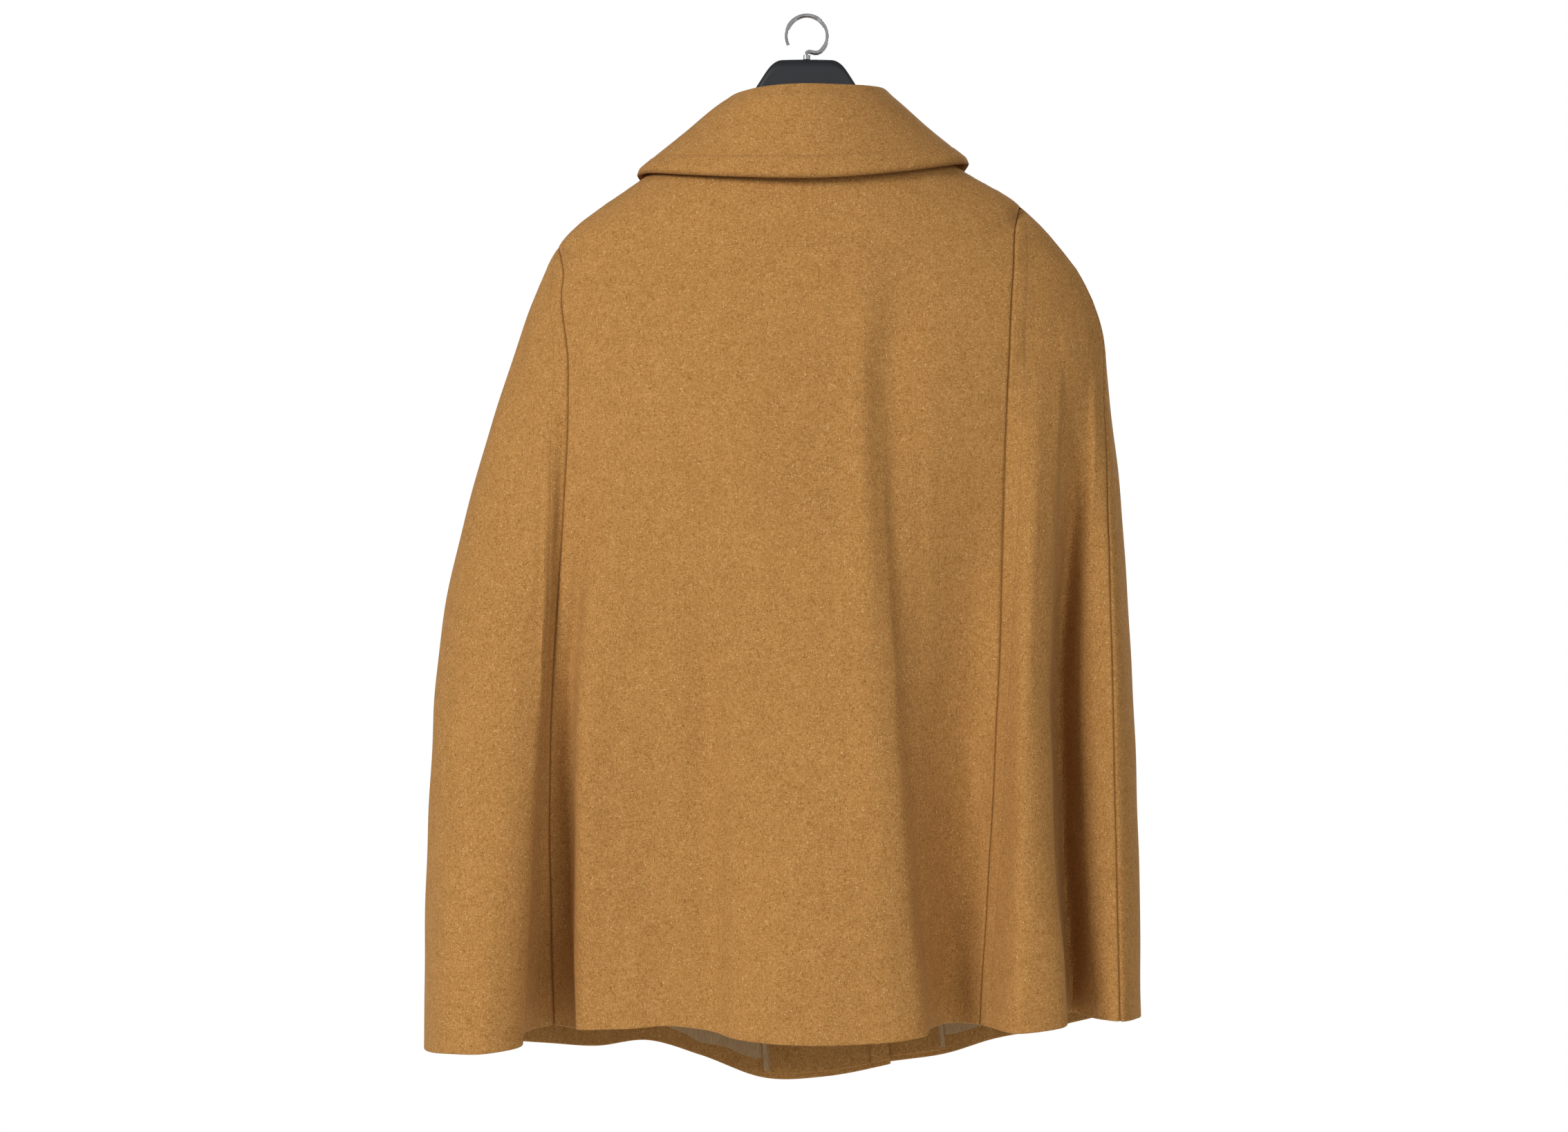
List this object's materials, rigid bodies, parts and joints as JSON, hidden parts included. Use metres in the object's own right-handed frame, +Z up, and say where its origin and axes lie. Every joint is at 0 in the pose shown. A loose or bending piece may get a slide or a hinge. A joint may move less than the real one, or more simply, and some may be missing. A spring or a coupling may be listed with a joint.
{
  "type": "wool cape on a hanger",
  "caption": "Hip-length swing cape of thick wool with a deep turn-down collar, lined and buttoned at the front, held on a moulded hanger.",
  "frame": {"origin": "inner top of the hanger's hook, where it rests on a rail", "axes": "+Z is up, the cape's back faces -Y and its front +Y, and the wearer's right is +X"},
  "size_m": [0.6232, 0.2523, 0.9458],
  "materials": {
    "camel_wool": "napped melange wool coating",
    "tan_satin": "satin lining",
    "brown_horn": "polished horn",
    "black_plastic": "moulded",
    "chromed_steel": "polished"
  },
  "bodies": {
    "root": {"back_panel": "camel_wool", "side_back_left": "camel_wool", "side_back_right": "camel_wool", "front_left": "camel_wool", "front_right": "camel_wool", "facing_left": "camel_wool", "facing_right": "camel_wool", "top_collar": "camel_wool", "undercollar": "camel_wool", "lining_left": "tan_satin", "lining_right": "tan_satin", "button_1": "brown_horn", "button_2": "brown_horn", "button_3": "brown_horn", "button_4": "brown_horn", "hanger_body": "black_plastic", "hanger_ferrule": "chromed_steel", "hanger_hook": "chromed_steel"}
  },
  "joints": []
}
